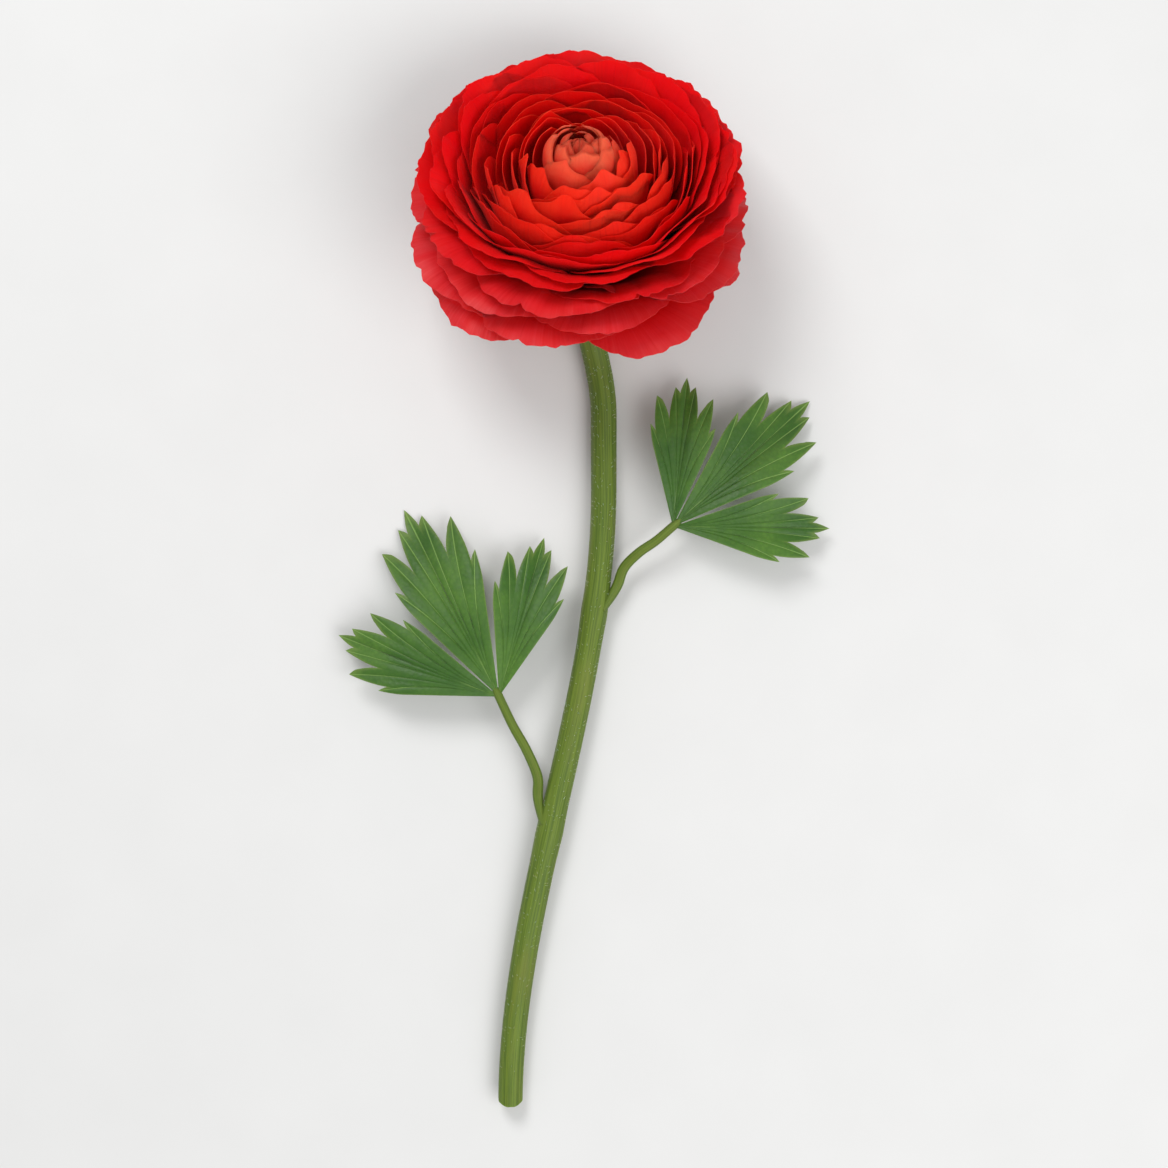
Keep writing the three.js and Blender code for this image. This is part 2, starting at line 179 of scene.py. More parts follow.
class Paint:
    """One material with its shader, whose constants are given first, and the ways to add nodes to it."""

    def __init__(self, name, **shader):
        self.material = bpy.data.materials.new(name)
        self.material.use_nodes = True
        self.tree = self.material.node_tree
        self.shader = self.tree.nodes["Principled BSDF"]
        for socket, value in shader.items():
            self.shader.inputs[socket.replace("_", " ")].default_value = value

    def node(self, kind, settings=None, sockets=None, output=0):
        """A node of this kind. Its settings are made before its sockets are joined."""
        made = self.tree.nodes.new("ShaderNode" + kind)
        for key, value in (settings or {}).items():
            setattr(made, key, value)
        for key, value in (sockets or {}).items():
            self.join(value, made.inputs[key])
        return Wire(self, made.outputs[output])

    def join(self, value, socket):
        if isinstance(value, Wire):
            self.tree.links.new(value.socket, socket)
        else:
            socket.default_value = value

    def maths(self, operation, *values):
        return self.node("Math", {"operation": operation}, dict(enumerate(values)))

    def between(self, value, low, high, to_low=0.0, to_high=1.0):
        """Value taken smoothly from low..high to to_low..to_high."""
        sockets = {"Value": value, "From Min": low, "From Max": high, "To Min": to_low, "To Max": to_high}
        return self.node("MapRange", {"interpolation_type": "SMOOTHSTEP"}, sockets)

    def blend(self, share, first, second):
        """The first colour where share is 0, and the second where it is 1."""
        first, second = [(*colour, 1) if isinstance(colour, tuple) else colour for colour in (first, second)]
        return self.node("Mix", {"data_type": "RGBA"}, {0: share, 6: first, 7: second}, 2)

    def attribute(self, name, output=2):
        """A number of the mesh, or with output 1 a vector."""
        return self.node("Attribute", {"attribute_name": name}, output=output)

    def place(self):
        """Object coordinates."""
        return self.node("TexCoord", output=3)

    def noise(self, vector, scale, detail):
        return self.node("TexNoise", None, {"Vector": vector, "Scale": scale, "Detail": detail})

    def stretched(self, vector, *scale):
        return self.node("VectorMath", {"operation": "MULTIPLY"}, {0: vector, 1: scale})

    def bump(self, height, distance, strength):
        sockets = {"Height": height, "Distance": distance * MM, "Strength": strength}
        return self.node("Bump", None, sockets)

    def end(self, **sockets):
        """Joins what varies over the surface to the shader."""
        for socket, value in sockets.items():
            self.join(value, self.shader.inputs[socket.replace("_", " ")])


stem_paint = Paint("stem_skin", Subsurface_Weight=0.15, Subsurface_Scale=0.002,
                   Subsurface_Radius=(0.6, 1.0, 0.3), Specular_IOR_Level=0.3, Sheen_Weight=0.05)
skin = stem_paint.attribute("skin", 1)
streaks = stem_paint.noise(stem_paint.stretched(skin, 9, 9, 0.05), 1.0, 3)
blotches = stem_paint.noise(stem_paint.stretched(skin, 0.6, 0.6, 0.03), 1.0, 3)
pores = stem_paint.noise(stem_paint.stretched(skin, 30, 30, 2.2), 1.0, 1)
blend, between = stem_paint.blend, stem_paint.between
green = blend(between(streaks, 0.32, 0.68), (0.060, 0.108, 0.006), (0.118, 0.178, 0.014))
green = blend(between(blotches, 0.45, 0.75, 0, 0.5), green, (0.155, 0.170, 0.020))
stem_paint.end(
    Base_Color=green,
    Roughness=between(pores, 0.3, 0.7, 0.42, 0.62),
    Normal=stem_paint.bump(streaks * 0.7 + pores * 0.3, 0.25, 0.6),
)
cut_paint = Paint("stem_cut", Roughness=0.35, Subsurface_Weight=0.3, Subsurface_Scale=0.002)
grain = cut_paint.noise(cut_paint.place(), 1400, 3)
cut_paint.end(
    Base_Color=cut_paint.blend(cut_paint.between(grain, 0.35, 0.65), (0.34, 0.42, 0.16), (0.52, 0.56, 0.28)),
    Normal=cut_paint.bump(grain, 0.15, 0.5),
)


def stem_shape(share, angle):
    """The stem's radius: fine grooves, thicker nodes and neck, and a slow swell along it."""
    length = share * STEM_LENGTH
    grooves = 0.016 * math.cos(8 * angle + 0.012 * length) + 0.010 * math.cos(13 * angle + 1.0)
    nodes = sum(0.07 * math.exp(-(((length - at) / 5) ** 2)) for at in LEAF_NODES)
    neck = 0.08 * math.exp(-((length / 7) ** 2))
    swell = 0.015 * math.sin(length * 0.05)
    radius = STEM_RADIUS * (1 + grooves + nodes + neck + swell - 0.01)
    lies_on_table = length > LYING_FROM and math.sin(angle) < -0.9
    return min(radius, STEM_RADIUS * 1.02) if lies_on_table else radius


# The bar starts a little way inside the calyx and runs on past the cut, which takes the rest off.
bm = bmesh.new()
top = tube(bm, lambda share: stem_point(share * (STEM_LENGTH + 3) - 0.3), 190, 40, stem_shape)[0]
end = stem_point(STEM_LENGTH)
knife = Vector((0, math.cos(CUT_SLANT), math.sin(CUT_SLANT)))
knife_at = (end.y + STEM_RADIUS * math.tan(CUT_SLANT)) * knife.y + end.z * knife.z
bmesh.ops.bisect_plane(bm, geom=bm.verts[:] + bm.edges[:] + bm.faces[:], plane_co=knife * (knife_at * MM),
                       plane_no=knife, clear_inner=True)
rim = [edge for edge in bm.edges if edge.is_boundary and all(vert.co.y < 0 for vert in edge.verts)]
cut = bmesh.ops.contextual_create(bm, geom=rim)["faces"]
bmesh.ops.inset_region(bm, faces=cut, thickness=CUT_SKIN * MM)
flesh = bmesh.ops.inset_region(bm, faces=cut, thickness=CUT_WALL * MM)["faces"]
hollow = bmesh.ops.extrude_discrete_faces(bm, faces=cut)["faces"]
bmesh.ops.translate(bm, vec=(stem_point(STEM_LENGTH - HOLLOW_DEPTH) - end) * MM, verts=hollow[0].verts)
for part in flesh + hollow + [face for vert in hollow[0].verts for face in vert.link_faces]:
    part.material_index = 1
cap(bm, top)
bmesh.ops.recalc_face_normals(bm, faces=bm.faces)
for edge in bm.edges:
    if len(edge.link_faces) == 2 and edge.calc_face_angle() > SHARP_ANGLE:
        edge.smooth = False
finish_mesh("stem_fine", bm, [stem_paint, cut_paint], ["stem"])


# The down on the stem. Short white hairs that stand out from the skin, denser towards the bloom,
# as on every young stem of this plant.
STEM_HAIRS = 1500
HAIR_THICKNESS = 0.05
HAIR_ROOT_DEPTH = 0.05
BARE_TOP = 3
BARE_END = 8

down_paint = Paint("white_down", Roughness=0.6, Subsurface_Weight=0.3, Subsurface_Scale=0.0005)
tint = down_paint.noise(down_paint.place(), 60, 2)
down_paint.end(Base_Color=down_paint.blend(tint, (0.50, 0.58, 0.34), (0.78, 0.82, 0.66)))


def draw(number, use):
    """A repeatable draw between -1 and 1."""
    x = math.sin(number * 12.9898 + use * 78.233) * 43758.5453
    return 2 * (x - math.floor(x)) - 1


def hair(bm, root, out, length, thickness):
    """One hair: a thin spike with three sides."""
    turn = Vector((0, 0, 1)).rotation_difference(out).to_matrix().to_4x4()
    middle = Matrix.Translation((root + out * (length / 2)) * MM)
    bmesh.ops.create_cone(bm, cap_ends=True, segments=3, radius1=thickness * MM, radius2=0, depth=length * MM,
                          matrix=middle @ turn)


bm = bmesh.new()
for number in range(STEM_HAIRS):
    length = STEM_LENGTH * (0.5 + 0.5 * draw(number, 31)) ** 1.3
    angle = math.pi * draw(number, 32)
    underneath = length > LYING_FROM and math.sin(angle) < -0.5
    if length < BARE_TOP or length > STEM_LENGTH - BARE_END or underneath:
        continue
    ahead = (stem_point(length - 0.5) - stem_point(length + 0.5)).normalized()
    side = ahead.cross(Vector((0, 0, 1))).normalized()
    out = side * math.cos(angle) + side.cross(ahead) * math.sin(angle)
    radius = stem_shape(length / STEM_LENGTH, -angle) - HAIR_ROOT_DEPTH
    lean = (out + ahead * (0.5 + 0.5 * draw(number, 33)) + side * 0.3 * draw(number, 34)).normalized()
    root = stem_point(length) + out * radius
    tip_is_clear = root.z + lean.z > 0.3
    if tip_is_clear:
        hair(bm, root, lean, 0.9 + 0.4 * draw(number, 35), HAIR_THICKNESS)
finish_mesh("stem_down", bm, [down_paint])


# The calyx. A shallow green disc on the end of the stem and the five narrow sepals that grow from
# its edge and have bent back from the open bloom. They are thin, pale and downy.
SEPALS = 5
FIRST_SEPAL_TURN = 54
# The disc's outline and a sepal's profile: radius from the bloom's axis, height along it.
DISC_OUTLINE = [(0, -25.2), (3.7, -25), (4.4, -24.4), (5.7, -22.4), (6, -20.8), (0, -20.8)]
DISC_ROUNDING = 0.25
SEPAL_PROFILE = [(3.2, -22.4), (11, -21.2), (21, -20.8), (19.5, -27.5)]
SEPAL_HALF_WIDTH = 3.4
SEPAL_THICKNESS = 0.5
# A sepal that comes near the table is kept above this height.
SEPAL_FLOOR = 0.4
SEPAL_HAIRS = 110
SEPAL_HAIR_THICKNESS = 0.04


def press(point, low, give, centre=None):
    """Keeps a point above the height low. What comes less than give above it bends flat, and slides
    away from a centre."""
    z = point.z - low
    if z >= give:
        return point
    flat = 0 if z < -give else (z + give) ** 2 / (4 * give)
    if centre:
        away = Vector((point.x - centre.x, point.y - centre.y, 0)).normalized()
        point = point + away * (0.9 * (flat - z))
    point.z = low + flat
    return point


def curve(points, share):
    """A point of a Bezier curve of four (radius, height) points, and its direction there."""
    left = 1 - share
    weights = (left ** 3, 3 * share * left ** 2, 3 * share ** 2 * left, share ** 3)
    radius = sum(weight * point[0] for weight, point in zip(weights, points))
    height = sum(weight * point[1] for weight, point in zip(weights, points))
    share = min(max(share, 0.001), 0.999)
    left = 1 - share
    weights = (left ** 2, 2 * share * left, share ** 2)
    run = sum(weight * (b[0] - a[0]) for weight, a, b in zip(weights, points, points[1:]))
    rise = sum(weight * (b[1] - a[1]) for weight, a, b in zip(weights, points, points[1:]))
    size = math.hypot(run, rise)
    return radius, height, run / size, rise / size


def sheet(bm, columns, rows, thickness, surface, marks):
    """A thin closed sheet. Surface gives its outer side for across -1..1 and along 0..1, and marks
    gives what the paint reads there. The other side, which is a leaf's upper one, is marked as the
    inner one. The sheet is thinner at its rim, whose edges stay crisp."""
    floats = bm.verts.layers.float
    layers = {key: floats.get(key) or floats.new(key) for key in [*marks(0, 0), "inner", "rim"]}
    made = list(bmesh.ops.create_grid(bm, x_segments=columns, y_segments=rows, size=1)["verts"])
    faces = list({face for vert in made for face in vert.link_faces})
    for vert in made:
        across, along = vert.co.x, (vert.co.y + 1) / 2
        vert.co = surface(across, along) * MM
        vert[layers["rim"]] = max(along, abs(across)) ** 10
        for key, value in marks(across, along).items():
            vert[layers[key]] = value
    for face in faces:
        face.normal_update()
    for vert in made:
        vert.normal_update()
    grown = bmesh.ops.extrude_face_region(bm, geom=faces, use_keep_orig=True)["geom"]
    inner = [part for part in grown if isinstance(part, bmesh.types.BMVert)]
    for vert in inner:
        vert.co -= vert.normal * (thickness * (1 - 0.6 * vert[layers["rim"]]) * MM)
        vert[layers["inner"]] = 1
    shell = {face for vert in made + inner for face in vert.link_faces}
    wall = {face for face in shell if len({vert[layers["inner"]] for vert in face.verts}) == 2}
    for face in wall:
        for edge in face.edges:
            edge.smooth = wall.issuperset(edge.link_faces)
    bmesh.ops.reverse_faces(bm, faces=list(shell))


sepal_paint = Paint("sepal_skin", Roughness=0.6, Subsurface_Weight=0.2, Subsurface_Scale=0.0015,
                    Sheen_Weight=0.2)
blend, between = sepal_paint.blend, sepal_paint.between
across, along = sepal_paint.attribute("across"), sepal_paint.attribute("along")
spots = sepal_paint.noise(sepal_paint.place(), 500, 3)
veins = sepal_paint.maths("SINE", across * 14) * 0.5 + 0.5
green = blend(between(spots, 0.35, 0.65), (0.26, 0.36, 0.10), (0.40, 0.47, 0.20))
green = blend(between(along, 0.6, 1.0, 0, 0.6), green, (0.50, 0.42, 0.20))
green = blend(between(abs(across), 0.75, 1.0, 0, 0.5), green, (0.62, 0.60, 0.36))
sepal_paint.end(Base_Color=green, Normal=sepal_paint.bump(veins * 0.7 + spots * 0.5, 0.2, 0.6))

bm = bmesh.new()
ring = [bm.verts.new((radius * MM, 0, height * MM)) for radius, height in DISC_OUTLINE]
edges = [bm.edges.new(pair) for pair in zip(ring, ring[1:])]
bmesh.ops.spin(bm, geom=ring + edges, axis=(0, 0, 1), cent=(0, 0, 0), steps=48, angle=2 * math.pi,
               use_merge=True)
bmesh.ops.remove_doubles(bm, verts=bm.verts, dist=0.001 * MM)
bmesh.ops.recalc_face_normals(bm, faces=bm.faces)
corners = [edge for edge in bm.edges if edge.is_manifold and edge.calc_face_angle() > 0.35]
bmesh.ops.bevel(bm, geom=corners, offset=DISC_ROUNDING * MM, segments=2, affect="EDGES", profile=0.5,
                material=-1)
for vert in bm.verts:
    vert.co = place(*(vert.co / MM)) * MM
hairs = []
for number in range(SEPALS):
    turn = math.radians(FIRST_SEPAL_TURN + number * 360 / SEPALS + 5 * draw(number, 21))
    curl = 1.5 * draw(number, 22)

    def sepal(across, along):
        """Tapered to a rounded point, slightly cupped and ribbed."""
        radius, height, run, rise = curve(SEPAL_PROFILE, along)
        taper = 1 - 0.75 * along ** 3
        swell = 0.8 + 0.2 * math.sin(math.pi * min(1, 1.4 * along))
        point_end = math.sqrt(max(1 - max(along - 0.9, 0) ** 2 * 100, 0))
        sideways = across * SEPAL_HALF_WIDTH * taper * swell * (0.25 + 0.75 * point_end)
        cup = -0.7 * across * across * taper + 0.12 * math.sin(9 * across + number) * along
        radius += rise * cup
        height += curl * along * along - run * cup
        x = radius * math.cos(turn) - sideways * math.sin(turn)
        y = radius * math.sin(turn) + sideways * math.cos(turn)
        return press(place(x, y, height), SEPAL_FLOOR, 2)

    sheet(bm, 12, 30, SEPAL_THICKNESS, sepal, lambda across, along: {"across": across, "along": along})
    for count in range(SEPAL_HAIRS):
        across, along = draw(count, 41 + number), 0.5 + 0.5 * draw(count, 51 + number)
        here = sepal(across, along)
        out = (sepal(across, min(along + 0.02, 1)) - here).cross(sepal(across * 0.9, along) - here)
        out = out.normalized() * (1 if across > 0 else -1)
        hairs.append((here, out, 0.8 + 0.5 * draw(count, 61 + number)))
finish_mesh("calyx_fine", bm, [sepal_paint], ["calyx"])

# Their down stands on the side that faces away from the bloom.
bm = bmesh.new()
for here, out, length in hairs:
    if (here + out - BLOOM_PLACE).length < (here - out - BLOOM_PLACE).length:
        out = -out
    hair(bm, here + out * 0.2, out, length, SEPAL_HAIR_THICKNESS)
finish_mesh("calyx_down", bm, [down_paint])


# The petals. Well over a hundred thin, satiny petals grow one after another round the end of the
# stem, each a golden angle on from the last. The first wrap the heart, the last bend right back.
PETALS = 95
FIRST_PETAL_TURN = 28
GOLDEN_ANGLE = 137.508
PETAL_THICKNESS = 0.28
# Past the heart they stand in rings, and those of a ring have opened nearly alike.
HEART_PETALS = 15
RING_PETALS = 5
# Behind each of these another petal fills the gap to the next: in the heart, in the bowl round it,
# and in the rear part of the bowl's lip.
FILLED_HEART = range(1, 9)
FILLED_BOWL = range(15, 40)
FILLED_LIP = range(40, 66)
# Each piece of the bloom: its name, its first petal and the one after its last, and the columns and
# rows of a petal's mesh.
PETAL_PIECES = [
    ("heart_petals", 0, 15, 48, 20),
    ("inner_petals", 15, 40, 52, 16),
    ("lip_petals", 40, 54, 70, 20),
    ("outer_petals", 54, 67, 70, 20),
    ("guard_petals", 67, 95, 80, 20),
]
# The petals that the bloom lies on are pressed flat this high over the table.
PETAL_FLOOR = 0.2
# From heart to rim: share of the row, tip (radius, height) and its lean from the axis, root
# (radius, height) and its rise, half the petal's width in degrees.
STAGES = [
    (0, -0.6, 23.2, -88, 0.8, 13, 20, 96),
    (0.03, 1, 24.2, -84, 1.2, 10, 38, 78),
    (0.06, 3.4, 24, -74, 1.8, 6, 44, 66),
    (0.1, 5.6, 22.8, -62, 2.4, 1, 50, 60),
    (0.153, 8.4, 20.6, -50, 2.8, -3, 53, 56),
    (0.165, 11.6, 21.4, -42, 3, -5, 56, 54),
    (0.23, 15.8, 19.2, -36, 3.6, -10, 62, 50),
    (0.3, 20.8, 17.4, -28, 4.1, -12.5, 65, 48),
    (0.38, 25.6, 16.2, -18, 4.4, -13.8, 68, 46),
    (0.46, 30.4, 16.6, -2, 4.7, -14.8, 71, 44),
    (0.54, 35.6, 17.8, 26, 5, -16, 74, 43),
    (0.64, 40.4, 15.4, 58, 5.3, -17, 79, 42),
    (0.74, 43.2, 10, 80, 5.5, -18, 84, 41),
    (0.84, 44.2, 1.5, 98, 5.6, -18.7, 89, 41),
    (0.93, 43.9, -8, 110, 5.7, -19.2, 93, 41),
    (1, 42.4, -16, 122, 5.8, -19.5, 97, 41),
]


def stage_at(share):
    """How far a petal at this share of the row has opened, from the two stages on either side."""
    after = max(1, next(number for number, stage in enumerate(STAGES) if stage[0] >= share))
    low, high = STAGES[after - 1], STAGES[after]
    way = (share - low[0]) / (high[0] - low[0])
    return [a + (b - a) * way for a, b in zip(low[1:], high[1:])]


def is_filled(number):
    """Whether another petal fills the gap behind this one."""
    rearward = math.sin(math.radians(FIRST_PETAL_TURN + (number + 0.5) * GOLDEN_ANGLE))
    return number in FILLED_HEART or number in FILLED_BOWL or (number in FILLED_LIP and rearward > -0.3)


def petal(bm, number, columns, rows):
    """One petal. Most of its shape hangs on its share of the row and on its turn round the bloom."""
    share = number / (PETALS - 1)
    ring = share
    if number >= HEART_PETALS:
        middle = (number - HEART_PETALS) // RING_PETALS * RING_PETALS + HEART_PETALS + 2
        middle += RING_PETALS * (number % 1)
        ring += (min(middle / (PETALS - 1), 1) - share) * 0.75
    tip_r, tip_z, lean, root_r, root_z, rise, half = stage_at(ring)

    # How much it belongs to the heart, to the loose bowl and to the bent skirt. Towards -X the loose
    # petals flare into separate points, and at the rear, towards +Y, they stay round.
    heart = 1 - smoothstep(share, 0.2, 0.5)
    loose = smoothstep(share, 0.05, 0.2) * (1 - smoothstep(share, 0.5, 0.7))
    bent = smoothstep(share, 0.58, 0.75)
    turn = math.radians(FIRST_PETAL_TURN + number * GOLDEN_ANGLE + (4 + 8 * loose) * draw(number, 4))
    flare = loose * max(0, -math.cos(turn + 0.5)) ** 0.7
    rear = smoothstep(math.sin(turn), -0.1, 0.6) * smoothstep(share, 0.16, 0.2)

    # Its profile, from the root to the tip. The bloom is a little out of round, its rim rises and
    # falls, and the bowl's first petals stand close round the heart.
    tip_r += 0.7 * loose * draw(number, 17) + share * 0.6 * math.sin(2 * turn + 1)
    tip_r += 0.8 * flare + 0.8 * bent * draw(number, 20)
    tip_r -= 1.6 * smoothstep(share, 0.15, 0.16) * (1 - smoothstep(share, 0.2, 0.28))
    tip_z += share * (0.4 * draw(number, 2) + 0.8 * math.sin(3 * turn + 2))
    tip_z += 2.5 * math.sin(turn) * smoothstep(share, 0.25, 0.5) * (1 - smoothstep(share, 0.65, 0.9))
    tip_z -= 1.4 * (1 - math.sin(turn)) * smoothstep(share, 0.8, 1)
    tip_z += 1.2 * flare + 1.2 * bent * draw(number, 23)
    lean = math.radians(lean + (3 + 4 * heart) * draw(number, 3) + 14 * flare + 6 * bent * draw(number, 19))
    rise = math.radians(rise)
    arm = 0.38 * math.hypot(tip_r - root_r, tip_z - root_z)
    profile = [
        (root_r, root_z),
        (root_r + arm * math.sin(rise), root_z + arm * math.cos(rise)),
        (tip_r - arm * math.sin(lean), tip_z - arm * math.cos(lean)),
        (tip_r, tip_z),
    ]
    half = math.radians(half * (1 + (0.07 + 0.08 * heart) * draw(number, 5) - 0.12 * flare))
    skew = math.radians(5 * draw(number, 6))

    # Its outline: round shoulders, a peak off its middle, a wavy and ragged rim with a few nicks.
    shoulder = 0.5 + 0.25 * min(1, 1.5 * share) - 0.17 * smoothstep(share, 0.5, 0.75)
    roundness = 1.15 - 0.5 * min(1, 1.4 * share) + 0.9 * flare + 0.4 * bent
    peak = (0.4 + 0.45 * flare) * (1 - 0.85 * rear)
    peak *= smoothstep(share, 0.01, 0.04) * (1 - smoothstep(share, 0.4, 0.65))
    off_centre = 0.35 * draw(number, 8)
    uneven = 1 + (1.2 - 1.6 * rear) * smoothstep(share, 0.08, 0.2) * (1 - smoothstep(share, 0.5, 0.7))
    ragged = smoothstep(share, 0.3, 0.7)
    phase = [math.pi * draw(number, use) for use in (7, 9, 10, 11, 12, 13)]
    nicks = [(0.85 * draw(number, 70 + i), 0.02 + 0.03 * abs(draw(number, 80 + i)),
              (0.01 + 0.06 * abs(draw(number, 90 + i)) ** 4) * smoothstep(share, 0.3, 0.9))
             for i in range(4)]

    def reach(arc):
        """How far along its profile the petal reaches, at this angle from its middle line."""
        side = math.sin(arc)
        dome = max(math.cos(arc), 0) ** roundness
        angular = 1 - abs(side - off_centre) / (1 + abs(off_centre))
        rim = shoulder + (1 - shoulder) * (dome + (min(angular, 1) - dome) * peak)
        rim *= 1 + uneven * (0.012 * math.sin(5 * side + phase[0]) + 0.008 * math.sin(11 * side + phase[1]))
        rim *= 1 + 0.005 * math.sin(17 * side + phase[2]) * math.sin(7 * side + phase[3])
        rim *= 1 + ragged * (0.005 * math.sin(31 * side + phase[4]) + 0.003 * math.sin(53 * side + phase[5]))
        return rim - sum(deep * max(0, 1 - abs(side - at) / wide) for at, wide, deep in nicks)

    # Its relief: how far one side laps over the next petal, the fold down its middle at the heart,
    # the soft swells, the pleats of the skirt, and the curl of its rim.
    lap = 0.6 + 0.5 * draw(number, 16) * smoothstep(share, 0.15, 0.3)
    keel = 1.1 * (1 - smoothstep(share, 0.12, 0.3))
    softness = 0.3 + 1.2 * smoothstep(share, 0.12, 0.3)
    pleats = 0.22 * smoothstep(share, 0.55, 0.75)
    curl = (0.5 + 0.9 * draw(number, 18)) * smoothstep(share, 0.1, 0.2)
    coarse = share ** 1.5

    def relief(side, along, angle, opening):
        """How far the petal stands out from its profile. The waves and swells follow the angle round
        the bloom, so that neighbours share them and stay clear of each other."""
        sideways = side * half
        wave = 1.1 * math.sin(5 * angle + 14 * share) + 0.45 * math.sin(13 * angle - 9 * share)
        wave = coarse * along ** 3 * (wave + 0.3 * math.sin(23 * angle + 21 * share))
        swell = noise.noise(Vector((2.2 * math.cos(angle), 2.2 * math.sin(angle), 5 * share + along)))
        crease = noise.noise(Vector((sideways * 9, along * 2.2, number * 7.7)))
        fold = keel * (0.45 - abs(side - off_centre)) * along
        pleat = pleats * math.sin(26 * sideways + phase[4] + 2 * along) * along * along
        fine = (0.2 + share) * along * along * math.sin(47 * sideways + 9 * along + phase[4])
        crimp = coarse * along ** 8 * math.sin(83 * sideways + phase[5])
        out = opening * (lap * side - 0.5 * side * side) + wave + fold + pleat + 0.05 * fine + 0.10 * crimp
        return out + along * (softness * swell + 0.22 * (0.4 + share) * crease) + curl * along ** 9

    def surface(across, along):
        arc = across * math.pi / 2
        side = math.sin(arc)
        far = along * reach(arc)
        radius, height, run, up = curve(profile, min(far, 1.02))
        opening = smoothstep(far, 0, 0.6)
        angle = turn + side * half * (0.3 + 0.7 * opening) + skew * far * far
        out = relief(side, along, angle, opening)
        radius += up * out
        height -= run * out
        point = place(radius * math.cos(angle), radius * math.sin(angle), height)
        return press(point, PETAL_FLOOR, 3, BLOOM_PLACE)

    def marks(across, along):
        width = across * half * (tip_r + 6)
        return {"across": width, "along": along, "share": share, "own": draw(number, 15)}

    sheet(bm, columns, rows, PETAL_THICKNESS, surface, marks)


petal_paint = Paint("petal_skin", Subsurface_Weight=0.55, Subsurface_Scale=0.003,
                    Subsurface_Radius=(1.0, 0.15, 0.1), Specular_IOR_Level=0.05, Coat_Roughness=0.4,
                    Sheen_Weight=0.03, Sheen_Roughness=0.35, Sheen_Tint=(1.0, 0.45, 0.45, 1))
blend, between = petal_paint.blend, petal_paint.between
across, along, share, own = (petal_paint.attribute(key) for key in ("across", "along", "share", "own"))
inner, rim = petal_paint.attribute("inner"), petal_paint.attribute("rim")
grain = petal_paint.node("CombineXYZ", None, {0: across * (1.0 - along * 0.35), 1: along * 1.6, 2: own * 40})
veins = petal_paint.noise(petal_paint.stretched(grain, 3.2, 0.9, 1), 1.0, 4)
cells = petal_paint.noise(petal_paint.place(), 900, 3)
cloud = petal_paint.noise(petal_paint.place(), 90, 2)

# The outer side, from the heart to the skirt: its upper part, and the deeper red lower down.
salmon = (0.94, 0.105, 0.048)
orange = (0.94, 0.026, 0.010)
red = (0.70, 0.003, 0.005)
crimson = (0.66, 0.001, 0.004)
upper = blend(between(share, 0.08, 0.18), salmon, orange)
upper = blend(between(share, 0.24, 0.5), upper, red)
upper = blend(between(share, 0.55, 0.75), upper, (0.45, 0.0025, 0.005))
lower = blend(between(share, 0.1, 0.2), (0.78, 0.030, 0.016), (0.72, 0.004, 0.005))
lower = blend(between(share, 0.5, 0.7), lower, (0.34, 0.001, 0.003))
outside = blend(between(along, 0.70, 1.0), lower, upper)

# The inner side, and the root of both.
inside = blend(between(share, 0.08, 0.16), (0.78, 0.058, 0.030), crimson)
inside = blend(between(share, 0.45, 0.6), inside, red)
inside = blend(between(along, 0.86, 1.0, 0, 0.35), inside, outside)
root = blend(between(share, 0.06, 0.3), (0.60, 0.03, 0.014), crimson)
colour = blend(between(along, 0.3, 0.75), root, blend(inner, outside, inside))

# The skirt is dark low down, with shade painted under the petals that lap over it. Towards its rim a pinker
# colour with pale veins is a painted satin sheen, beside the real gloss of its coat.
skirt = between(share, 0.66, 0.9)
coat_and_painted_sheen = skirt * between(along, 0.55, 1.0)
# Painted shade: the skirt is darker low down, under the petals that lap over it.
colour = blend(skirt * between(along, 0.85, 0.45, 0, 0.5), colour, (0.36, 0.001, 0.003))
# Painted sheen: a pinker colour towards the skirt's rim, paler still along its veins.
colour = blend(coat_and_painted_sheen * 0.8, colour, (0.62, 0.022, 0.030))
colour = blend(coat_and_painted_sheen * between(veins, 0.5, 0.75, 0, 0.3), colour, (0.70, 0.06, 0.07))

# Dark veins, paler clouds, the brownish centre and the dark rims of the petals round it.
dark_veins = between(veins, 0.5, 0.28) * between(share, 0.1, 0.5, 0.1, 0.3)
centre = between(share, 0.02, 0.09, 0.8, 0) * between(along, 0.55, 0.95)
dark_rim = between(rim, 0.55, 0.95) * between(share, 0.05, 0.16, 0.8, 0)
colour = blend(dark_veins, colour, (0.50, 0.002, 0.005))
colour = blend(between(cloud, 0.4, 0.7, 0, 0.18), colour, (0.72, 0.018, 0.010))
colour = blend(centre, colour, (0.42, 0.036, 0.018))
colour = blend(dark_rim, colour, (0.28, 0.018, 0.008))
petal_paint.end(
    Base_Color=colour,
    Roughness=between(cells, 0.3, 0.7, 0.42, 0.60),
    Coat_Weight=coat_and_painted_sheen * 0.22,
    Normal=petal_paint.bump(veins * 0.8 + cells * 0.25, 0.12, 0.5),
)

for name, first, after_last, columns, rows in PETAL_PIECES:
    bm = bmesh.new()
    for number in range(first, after_last):
        petal(bm, number, columns, rows)
        if is_filled(number):
            petal(bm, number + 0.5, columns, rows)
    finish_mesh(name, bm, [petal_paint], ["bloom"])


# The leaves. Two leaves grow from the stem on thin stalks whose broad base clasps it. Each has three
# wedge-shaped segments, cut into toothed lobes, with a sunken vein to every tooth.
LEAF_THICKNESS = 0.35
# Each leaf: its name, its node's length along the stem, its side of the stem, how far it turns away
# from the stem in degrees, the length of its stalk and of its segments, and a number for its waves.
LEAVES = [
    ("leaf_upper", LEAF_NODES[0], 1, 42, 17, (40, 50, 42), 3),
    ("leaf_lower", LEAF_NODES[1], -1, 38, 24, (46, 56, 44), 8),
]
STALK_RADIUS = 1.5
# The stalk starts this deep inside the stem, and then runs beside it with this much room between.
STALK_SUNK = 1.2
STALK_CLEAR = 0.2
